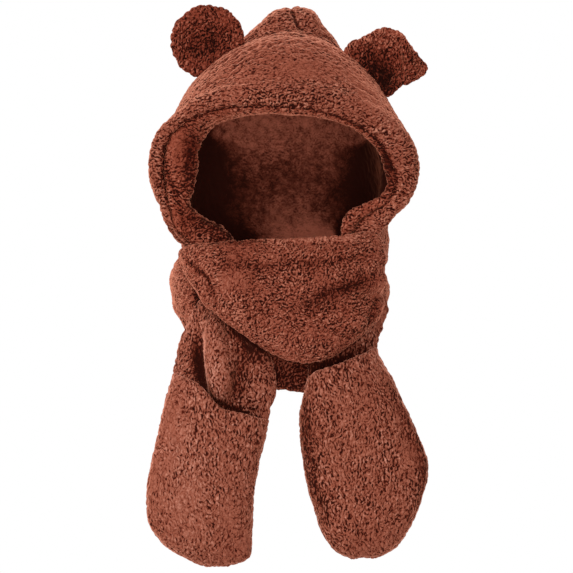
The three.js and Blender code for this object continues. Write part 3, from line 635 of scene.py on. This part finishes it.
# Painted shade in the left crease, on the inner strips and in the lower left corner, and painted highlights
# on the outer sides.
raise_pile(band, 5.2, 2.0, 11, [(crease, 4, -1.5)], [
    (crease, 4, 0.38),
    ([(124, -106), (134, -150), (124, -192)], 12, -0.16),
    ([(-126, -102), (-143, -140), (-138, -184), (-124, -214)], 9, -0.2),
    ([(-103, -96), (-107, -125), (-109, -150), (-108, -170)], 9, 0.42),
    ([(98, -106), (108, -120), (113, -140), (112, -166)], 7, 0.5),
    ([(-98, -196), (-84, -206), (-66, -216), (-40, -222)], 13, 0.95),
], parted, pulls=SETTLED + FACE_PULLS)
finish_piece(band, band_fleece, "hood_fleece", "face_band")

# Ears. Each is two rounds of fleece with a thin pad between, sewn to the panel at its foot. The left
# one stands up, cupped to the front, and the right one is folded over at its top corner.

EAR_SPAN, EAR_THICK, EAR_CUP, EAR_FOLD = 81, 17, 9, 24
ear_fleece = teddy("ear_fleece", (58, 15, 6), (124, 54, 37), (180, 108, 86), (1.0, 0, -0.3), (1.0, 1.0, 0.85))
# Painted shade in the left ear's cup, along the right ear's pleats and at its foot, and a painted highlight
# across its top.
edge_pleats = [[(124, 2), (134, -12), (140, -32)], [(134, 0), (144, -12), (149, -26)]]
ears = {
    "left": dict(
        middle=(-0.305, -0.1, 0), tip=135, fold=0,
        outline=columns(
            "turn reach",
            (-180, 1.05), (-125, 1.0), (-90, 1.03), (-55, 1.02), (0, 1.01), (60, 0.97), (120, 0.96),
        ),
        folds=[([(-108, 4), (-92, 4), (-76, 0)], 16, -4)],
        shadows=[([(-108, -4), (-92, 0), (-70, 6)], 14, 0.34)],
        pulls=((-92, 16, 36, -0.6, 2),),
    ),
    "right": dict(
        middle=(0.365, -0.1, -0.07), tip=32, fold=EAR_FOLD,
        outline=columns(
            "turn reach", (-180, 0.98), (-118, 0.92), (-90, 0.8), (-57, 1.04), (-42, 1.18), (-22, 0.93),
            (0, 0.82), (29, 0.86), (58, 0.89), (98, 0.86), (122, 1.08), (150, 1.1),
        ),
        folds=[(path, 3.5, -3) for path in edge_pleats + [[(112, 4), (122, -12), (126, -34)]]],
        shadows=[(path, 3, 0.4) for path in edge_pleats] + [
            ([(88, -16), (102, -36), (114, -54)], 15, 0.58),
            ([(66, -2), (92, 8), (124, 6), (142, -18)], 11, -0.3),
        ],
        pulls=((118, 4, 30, 1.4, 2.2),),
    ),
}


def ear_surface(ear, turn, tilt):
    """A disc as a flattened ball: tilt runs from its back pole to its front pole, its rim stands forward
    of its middle by the square of the way out, and its tip falls forward."""
    out = np.cos(tilt)
    edge = EAR_SPAN / 2 * track(ear["outline"], "turn", "reach", turn, 360)
    angle = np.radians(ear["tip"] + turn)
    fallen = ear["fold"] * np.maximum(0, out * np.cos(np.radians(turn + 40))) ** 2
    puff = EAR_THICK / 2 * np.sin(tilt) * (0.75 + 0.5 * out ** 2)
    x, y, z = (share * HOOD_WIDTH for share in ear["middle"])
    return np.stack([
        x + edge * out * np.cos(angle),
        y - (EAR_CUP * out ** 2 + fallen) - puff,
        z + edge * out * np.sin(angle),
    ], -1)


def hood_filled():
    """The hood's outer surface closed at the face and the neck, which the ears and the scarf are cut to."""
    stops = np.array([0, 0.5, 1.08, 1.3, 2, 3, 4, 5, 5.7, 6.3, 7, 8, 9, 10, 11, 12, 13, 14, 15.9, 16])
    turn = np.linspace(0, 2 * np.pi, 64, endpoint=False)
    grid = hood_offset(turn[None, :], stops[:, None], np.full((len(stops), len(turn)), FLEECE / 2 + SEAM))
    ends = [np.broadcast_to(np.array(p), (1, len(turn), 3)) for p in (
        (HOOD_MIDDLE, -CHIN_FRONT, -CHIN_DROP / 2), (HOOD_MIDDLE, NECK_MIDDLE, grid[-1, 0, 2]),
    )]
    return closed_grid("hood_space", np.concatenate([ends[0], grid, ends[1]]), False, True, 0.0)


def cut_from(piece, cutter, crossed=False):
    """Takes the cutter's space out of a piece, with the result kept as its mesh. Near the chin the hood's
    space crosses itself, and crossed allows for that."""
    cut = piece.modifiers.new("cut", "BOOLEAN")
    cut.operation, cut.solver, cut.object, cut.use_self = "DIFFERENCE", "EXACT", cutter, crossed
    made = bpy.data.meshes.new_from_object(piece.evaluated_get(bpy.context.evaluated_depsgraph_get()))
    piece.modifiers.clear()
    piece.data = made
    made.shade_smooth()


space = hood_filled()
turn, tilt = np.linspace(-180, 180, 170, endpoint=False), np.linspace(-np.pi / 2, np.pi / 2, 92)
for word, ear in ears.items():
    points = ear_surface(ear, turn[None, :], tilt[:, None])
    piece = closed_grid("ear_disc_" + word, points, False, True)
    cut_from(piece, space)
    raise_pile(piece, 6.4, 2.8, 31, ear["folds"], ear["shadows"], pulls=ear["pulls"])
    finish_piece(piece, ear_fleece, "hood_fleece", "ear_" + word)

# Scarf, under wrap. The scarf is a tube of the same fleece pressed flat. Its inner turn lies close
# round the neck and shows in the dark between the tails and as the lump at the far left.

scarf_fleece = teddy("scarf_fleece", (74, 21, 8), (135, 68, 50), (184, 116, 94), (0.5, 0, -0.9))
under_rows = columns(
    "around top bottom out",
    (-180, 2.4, 3.22, 0.15), (-135, 2.38, 3.18, 0.2), (-90, 2.33, 3.06, 0.35), (-60, 2.46, 3.3, 0.31),
    (-30, 2.8, 3.66, 0.17), (0, 2.95, 3.81, 0.16), (30, 2.9, 3.86, 0.16), (60, 2.6, 3.5, 0.16),
    (90, 2.44, 3.16, 0.15), (135, 2.4, 3.26, 0.16),
)


def round_neck(around, off, z, fullness=2.6):
    """A superellipse of power fullness round the neck's middle, grown by off."""
    turn = np.radians(around)
    return np.stack(np.broadcast_arrays(
        HOOD_MIDDLE + (NECK_WIDTH / 2 + off) * power(np.sin(turn), 2 / fullness),
        NECK_MIDDLE - (NECK_DEPTH / 2 + off) * power(np.cos(turn), 2 / fullness),
        z,
    ), -1)


def wrap_surface(rows, around, heights, inner, folds, tuck):
    """A ring of cloth: a soft slab between its top and bottom edges, rounded at both and drawn in a little
    there, with straight folds laid over it. A fold is (start, end, height, width), with its ends in degrees
    round and scarf widths down, and degree is a degree's run in scarf widths. The inner wall, which isn't
    seen, has fewer rows."""
    at = around[None, :]
    outer_h, inner_h = heights, heights[-4:0:-6]
    h = np.concatenate([outer_h, inner_h])[:, None]
    face = np.concatenate([np.ones(len(outer_h)), -np.ones(len(inner_h))])[:, None]
    top, bottom, out = (track(rows, "around", c, at, 360) * SCARF for c in ("top", "bottom", "out"))
    within = inner(out)
    down = mix(bottom, top, h)
    edge = rounded(np.minimum(h, 1 - h), 0.22)
    middle = (out + within) / 2 - tuck * SCARF * (2 * h - 1) ** 2
    rise = 0
    degree = 1.3 * np.radians(1)
    for start, end, height, wide in folds:
        run = np.array([(end[0] - start[0]) * degree, end[1] - start[1]])
        past, under = at * degree - start[0] * degree, down / SCARF - start[1]
        t = np.clip((past * run[0] + under * run[1]) / (run @ run), 0, 1)
        away = np.hypot(past - t * run[0], under - t * run[1])
        rise = rise + height * np.exp(-((away / wide) ** 2)) * np.sin(np.pi * mix(0.2, 0.9, t))
    rise = rise * SCARF * edge
    off = middle + face * (out - within) / 2 * edge + np.where(face > 0, rise, rise / 2)
    return round_neck(at, off, -down), np.broadcast_to((face > 0) * 1.0, off.shape)


def edge_heavy(count):
    """Places from 0 to 1, closer together at both ends: s less a share of a sine wave."""
    s = np.linspace(0, 1, count)
    return s - 0.85 * np.sin(2 * np.pi * s) / (2 * np.pi)


def turn_places(left, right, behind_left, front, behind_right):
    """Degrees round the neck, close together in front, from left to right, and wider apart behind."""
    return np.concatenate([
        np.linspace(-180, left, behind_left, endpoint=False),
        np.linspace(left, right, front, endpoint=False),
        np.linspace(right, 180, behind_right, endpoint=False),
    ])


points, cover = wrap_surface(under_rows, turn_places(-95, 70, 45, 190, 58), edge_heavy(64),
                             lambda out: 0 * out + FLEECE / 2 + SEAM, (), 0.02)
under = closed_grid("under_wrap_turn", points, True, True, cover)
cut_from(under, space)
# Painted shade in the crease at the left and between the tails, and a painted highlight on the lump at the
# far left.
raise_pile(under, TUFT, 2.3, 47, [([(-97, -258), (-98, -272), (-98, -286)], 3, -4)], [
    ([(-97, -256), (-98, -272), (-98, -290)], 5, 1.0),
    ([(-124, -232), (-128, -262), (-120, -296)], 12, -0.3),
    ([(-60, -348), (0, -370), (60, -348)], 20, 0.4),
])
finish_piece(under, scarf_fleece, "scarf_fleece", "under_wrap")

# Scarf, two tails. Each end of the scarf hangs in front, folded lengthwise at its top, and widens into
# the back of a mitten pocket with a round tip. Their pile lies along them.

hanging_fleece = teddy("hanging_fleece", (82, 26, 12), (144, 79, 60), (194, 130, 110), (1.0, 0, 0),
                       (1.0, 1.0, 0.72))
MITTEN, WALL, PALM, BACK, TAIL_TOP = 128, 8, 27, 18, 280
TAIL_FRONT, TAIL_CURL, TAIL_LAYER, SCARF_LAYER = 95, 44, 11, 14
tails = {
    "left": dict(
        length=296, mouth=(0.318, 0.432), slack=0.03, sag=0.03, opens=0.52,
        folds=(
            (-0.2, -0.02, 1.3, 0.31, 0.43), (0.75, 0.78, 0.5, 0.26, 0.46), (-0.82, -0.85, 0.45, 0.26, 0.44),
        ),
        outline=columns(
            "fall left right",
            (0, -0.73, -0.34), (0.07, -0.84, -0.34), (0.118, -0.89, -0.33), (0.176, -0.93, -0.22),
            (0.236, -0.953, -0.14), (0.294, -0.98, -0.11), (0.355, -1.03, -0.11), (0.416, -1.065, -0.15),
            (0.505, -1.11, -0.19), (0.62, -1.17, -0.255), (0.74, -1.225, -0.3), (0.8, -1.215, -0.305),
            (0.86, -1.17, -0.312), (0.92, -1.06, -0.335), (0.95, -0.96, -0.365), (0.98, -0.83, -0.43),
            (1, -0.72, -0.52),
        ),
    ),
    "right": dict(
        length=289, mouth=(0.297, 0.196), slack=0, sag=0, opens=0.47,
        folds=((0.2, 0.1, 0.3, 0.4, 0.4),),
        outline=columns(
            "fall left right",
            (0, 0.24, 0.82), (0.05, 0.22, 0.85), (0.1, 0.2, 0.82), (0.15, 0.19, 0.785), (0.2, 0.18, 0.762),
            (0.25, 0.17, 0.8), (0.3, 0.16, 0.865), (0.363, 0.14, 0.93), (0.45, 0.095, 1.035),
            (0.52, 0.095, 1.105), (0.58, 0.11, 1.16), (0.637, 0.137, 1.2), (0.7, 0.16, 1.19),
            (0.76, 0.195, 1.148), (0.82, 0.24, 1.105), (0.88, 0.28, 1.04), (0.94, 0.36, 0.95),
            (0.97, 0.43, 0.86), (1, 0.55, 0.74),
        ),
    ),
}


def arch(t, fullness=2.5):
    """1 in the middle and 0 at both edges, as a superellipse of power fullness."""
    return (1 - np.minimum(1, np.abs(t)) ** fullness) ** (1 / fullness)


def seam_place(fall, x):
    """The plane of the side seams, bent back round the neck at its top."""
    bent = 1 - ease(fall, 0.06, 0.44)
    return -TAIL_FRONT + TAIL_CURL * bent * ((x - HOOD_MIDDLE) / (NECK_WIDTH / 2 + 2 * SCARF_LAYER)) ** 2


def tip_close(fall, tip, run=0.2):
    """1 down to a run above the tip, and from there closed to 0 at the tip by a round."""
    return np.sqrt(np.maximum(0, 1 - np.clip((fall - tip + run) / run, 0, 1) ** 2.4))


def spread(tail, fall, t):
    """Half the tail's width, and the place across, at a share of its fall and of its half width."""
    left, right = (track(tail["outline"], "fall", c, fall) * MITTEN for c in ("left", "right"))
    return (right - left) / 2, (left + right) / 2 + (right - left) / 2 * t


def tail_surface(tail, fall, t, front):
    """A flat slab at its top that opens into a hollow back: an arch behind the seams, hollowed from the
    front."""
    half, x = spread(tail, fall, t)
    mitten = ease(fall, tail["opens"] - 0.14, tail["opens"] + 0.06)
    slab = TAIL_LAYER / 2 * np.sqrt(1 - t ** 4) * rounded(fall, 0.03)
    hollow = (BACK - WALL) * arch(t / (1 - WALL / half)) * tip_close(fall, 1 - WALL / tail["length"])
    back = BACK * arch(t) * tip_close(fall, 1)
    folds = 0
    for top, foot, rise, wide, ends in tail["folds"]:
        away = (t - mix(top, foot, fall / ends)) / wide
        held = (1 - ease(fall, ends - 0.1, ends)) * ease(fall, 0, 0.1)
        folds = folds + rise * np.exp(-away * away) * held
    face = mix(-slab - folds * TAIL_LAYER * np.sqrt(1 - t ** 4), hollow, mitten)
    y = seam_place(fall, x) + np.where(front, face, mix(slab, back, mitten))
    return np.stack([x, y, 0 * x - TAIL_TOP - tail["length"] * fall], -1)


def both_faces(across):
    """Places across the front and then back across the back, and which of them are in front."""
    behind = across[-2:0:-1]
    return np.concatenate([across, behind]), np.concatenate([np.ones(len(across)), np.zeros(len(behind))])


across, front = both_faces(np.sin(np.linspace(-np.pi / 2, np.pi / 2, 58)))
fall = np.unique(np.concatenate([
    0.1 * edge_heavy(24)[:12], np.linspace(0.05, 0.9, 120), 1 - 0.1 * (1 - np.linspace(0, 1, 22)) ** 2,
]))
tail_folds = {
    "left": [([(-98, -322), (-98, -345), (-95, -368), (-90, -392)], 5, -9),
             ([(-48, -337), (-53, -361), (-57, -383), (-57, -400)], 6, -6),
             ([(-76, -308), (-79, -345), (-78, -394)], 13, 5)],
    "right": [([(30, -362), (52, -358), (72, -348)], 6, -3)],
}
# Painted shade in the creases, under the drape's edge and above the pockets' mouths, and a painted highlight
# along the left strap's ridge.
tail_shadows = {
    "left": [([(-99, -330), (-98, -350), (-95, -372), (-88, -402)], 7, 0.9),
             ([(-79, -340), (-80, -370), (-74, -400)], 9, -0.2),
             ([(-100, -300), (-86, -292), (-70, -300)], 9, 0.2),
             ([(-45, -325), (-50, -350), (-56, -400)], 9, 0.4),
             ([(-62, -308), (-44, -321), (-28, -344)], 11, 0.9),
             ([(-96, -376), (-80, -392), (-60, -404), (-30, -416)], 4, 0.7)],
    "right": [([(18, -362), (52, -360), (78, -346)], 16, 0.8)],
}
for word, tail in tails.items():
    points = tail_surface(tail, fall[:, None], across[None, :], front[None, :] > 0)
    piece = closed_grid("tail_cloth_" + word, points, False, True)
    raise_pile(piece, TUFT, 2.2, 53, tail_folds[word], tail_shadows[word])
    finish_piece(piece, hanging_fleece, "scarf_fleece", "tail_" + word)

# Mitten pockets. A panel of fleece is sewn to the front of each tail along both sides and round the
# tip, and its upper edge stays open as the mouth for a hand.

MOUTH_RIM = 0.035


def pocket_surface(tail, down, t, front):
    """An arched wall in front of the seams, from the mouth, where it flares most, to the closed tip."""
    mouth = mix(tail["mouth"][0], tail["mouth"][1], (t + 1) / 2) + tail["slack"] * np.sin(np.pi * t * 0.62)
    mouth = mouth + tail["sag"] * np.exp(-(((t - 0.05) / 0.35) ** 2))
    fall = mix(mouth, 1, down)
    half, x = spread(tail, fall, t)
    palm = PALM * (1 + 0.16 * (1 - ease(down, 0, 0.3)))
    outer = palm * arch(t) * tip_close(fall, 1)
    inside = (palm - WALL) * arch(t / (1 - WALL / half)) * tip_close(fall, 1 - WALL / tail["length"])
    off = mix((outer + inside) / 2, np.where(front, outer, inside), rounded(down, MOUTH_RIM))
    return np.stack([x, seam_place(fall, x) - SEAM - off, -TAIL_TOP - tail["length"] * fall], -1)


across, front = both_faces(np.sin(np.linspace(-np.pi / 2, np.pi / 2, 100)))
down = np.unique(np.concatenate([
    MOUTH_RIM * (1 - np.cos(np.linspace(0, np.pi / 2, 8))), np.linspace(MOUTH_RIM, 0.85, 110),
    1 - 0.15 * (1 - np.linspace(0, 1, 34)) ** 2,
]))
pocket_folds = {
    "left": [([(-132, -405), (-128, -421), (-121, -438), (-117, -454), (-113, -471)], 5, -2)],
    "right": [([(120, -395), (126, -420), (134, -450)], 6, -1.5)],
}
# Painted shade along the right pocket's sides, and a painted highlight over the left pocket.
pocket_shadows = {
    "left": [([(-118, -410), (-112, -480), (-104, -570)], 30, -0.16)],
    "right": [([(112, -370), (136, -405), (156, -460), (150, -520)], 14, 0.45),
              ([(14, -372), (16, -420), (22, -470), (38, -520)], 11, 0.35)],
}


def brushed(at):
    """How far a pocket's curls part: least on the left one's outer side and low down."""
    left = ease(at[:, 0], -142, -100) * ease(at[:, 2], -575, -470)
    return mix(0.6, 0.84, np.maximum(left, ease(at[:, 0], -10, 0)))


for word, tail in tails.items():
    points = pocket_surface(tail, down[:, None], across[None, :], front[None, :] > 0)
    piece = closed_grid("pocket_cloth_" + word, points, False, True)
    raise_pile(piece, TUFT, 2.0, 59, pocket_folds[word], pocket_shadows[word], brushed, stretch=(1, 1, 1.35))
    finish_piece(piece, hanging_fleece, "scarf_fleece", "mitten_pocket_" + word)

# Scarf, front drape. The scarf's outer turn covers the chin, hangs lowest in front and passes over the
# right shoulder, with a rolled top edge, a hem along its left edge and two slanting folds.

drape_rows = columns(
    "around top bottom out",
    (-180, 2.06, 2.68, 0.33), (-135, 2.14, 2.6, 0.33), (-90, 2.27, 2.46, 0.27), (-65, 2.25, 2.42, 0.36),
    (-45, 2.23, 2.58, 0.56), (-30, 2.21, 2.93, 0.6), (-15, 2.19, 3.2, 0.55), (0, 2.17, 3.44, 0.5),
    (15, 2.15, 3.5, 0.52), (30, 2.12, 3.3, 0.56), (45, 2.09, 3.1, 0.56), (60, 2.06, 3.0, 0.36),
    (90, 2.04, 3.0, 0.29), (135, 2.02, 2.78, 0.31),
)
drape_folds = (
    ((64, 2.46), (4, 2.83), 0.08, 0.13), ((62, 2.66), (6, 2.99), -0.07, 0.1),
    ((-58, 2.3), (-24, 2.78), -0.03, 0.05), ((40, 2.98), (6, 3.26), 0.05, 0.16),
)
points, cover = wrap_surface(drape_rows, turn_places(-85, 95, 48, 330, 44), edge_heavy(104),
                             lambda out: out - SCARF_LAYER, drape_folds, 0.08)
drape = closed_grid("front_drape_turn", points, True, True, cover)
cut_from(drape, space, True)
bpy.data.objects.remove(space)
hem = [(-114, -236), (-102, -249), (-90, -258), (-82, -273), (-79, -289)]
slant = [(104, -254), (76, -266), (50, -276), (24, -288)]
right_crease = [(98, -280), (92, -299), (87, -318)]
top_roll = [(-5, -221), (30, -222), (66, -221)]
# Painted shade in the folds and under the top roll, and painted highlights on the top edge, the hem and the
# right edge.
raise_pile(drape, TUFT, 2.3, 61, [
    (hem, 3, -3.5), (slant, 9, -7), (right_crease, 4, -3), (top_roll, 3, -2),
    ([(-120, -242), (-108, -256), (-98, -268), (-90, -284), (-84, -300)], 4, 2.5),
    ([(104, -240), (72, -252), (47, -262), (12, -272)], 7, 4),
], [
    (hem, 2.5, 0.45), (slant, 9, 0.45), (right_crease, 4, 0.4), (top_roll, 3, 0.35),
    ([(-80, -243), (-30, -247), (13, -245), (60, -240), (104, -231)], 5, 0.25),
    ([(-24, -220), (30, -220), (84, -216)], 5, -0.4), ([(-86, -218), (-60, -220), (-34, -221)], 4, 0.3),
    ([(-96, -262), (-80, -286), (-40, -318), (6, -344), (30, -346)], 7, -0.12),
    ([(-96, -232), (-84, -250), (-70, -270), (-58, -286)], 9, -0.2),
    ([(96, -236), (110, -270), (104, -300)], 14, -0.2), ([(-20, -288), (24, -304)], 16, 0.08),
    ([(72, -338), (92, -325), (104, -300)], 9, 0.2),
], pulls=SETTLED + ((5, -346, 18, 0, -4),))
finish_piece(drape, scarf_fleece, "scarf_fleece", "front_drape")

# Studio. A plain pale floor well below the hanging tails, an even pale surround, a large soft light
# from the upper left front, and weaker ones from low in front, the left, above and behind.

bpy.ops.mesh.primitive_circle_add(vertices=96, radius=1.9, fill_type="NGON", location=(0, 0, -0.72))
floor = bpy.context.object
floor.name = "studio_floor"
paper = bpy.data.materials.new("studio_paper")
paper.use_nodes = True
paper.node_tree.nodes["Principled BSDF"].inputs["Base Color"].default_value = (0.86, 0.86, 0.85, 1)
paper.node_tree.nodes["Principled BSDF"].inputs["Roughness"].default_value = 0.9
floor.data.materials.append(paper)

world = bpy.data.worlds.new("studio_surround")
world.use_nodes = True
bpy.context.scene.world = world
tree = world.node_tree
lit = tree.nodes["Background"]
lit.inputs["Color"].default_value, lit.inputs["Strength"].default_value = (1, 1, 1, 1), 0.5
shown = node(tree, "ShaderNodeBackground", {"Color": (1, 1, 1, 1), "Strength": 1.0})
ray = node(tree, "ShaderNodeLightPath", {})
both = node(tree, "ShaderNodeMixShader", {0: ray.outputs["Is Camera Ray"]})
tree.links.new(lit.outputs[0], both.inputs[1])
tree.links.new(shown.outputs[0], both.inputs[2])
tree.links.new(both.outputs[0], tree.nodes["World Output"].inputs["Surface"])

lit_place = np.array([0, -0.05, -0.25])
for name, place, size, watts in (
    ("key_light", (-1.3, -2.6, 1.9), 1.5, 48), ("front_light", (0.1, -3.2, -0.3), 1.2, 30),
    ("left_light", (-3.0, 0.0, 0.1), 1.6, 34),
    ("top_light", (0.0, 0.4, 2.2), 1.6, 18), ("back_light", (0.6, 2.6, 1.2), 2.0, 30),
):
    light = bpy.data.lights.new(name, "AREA")
    light.size, light.energy = size, watts
    lamp = bpy.data.objects.new(name, light)
    bpy.context.collection.objects.link(lamp)
    away = np.array(place) - lit_place
    tip, swing = np.arccos(away[2] / np.linalg.norm(away)), np.arctan2(away[1], away[0]) + np.pi / 2
    lamp.location, lamp.rotation_euler = place, (tip, 0, swing)

bpy.context.scene.view_settings.view_transform = "Standard"

# Camera. Level with the middle of the hanging piece, straight in front, and far off with a long lens, so
# that near and far parts keep the sizes they have in the photograph.

lens = bpy.data.cameras.new("front_camera")
lens.sensor_width, lens.lens = 36, 342.7
camera = bpy.data.objects.new("front_camera", lens)
bpy.context.collection.objects.link(camera)
camera.location, camera.rotation_euler = (-0.00165, -6.09, -0.269), (np.pi / 2, 0, 0)
bpy.context.scene.camera = camera
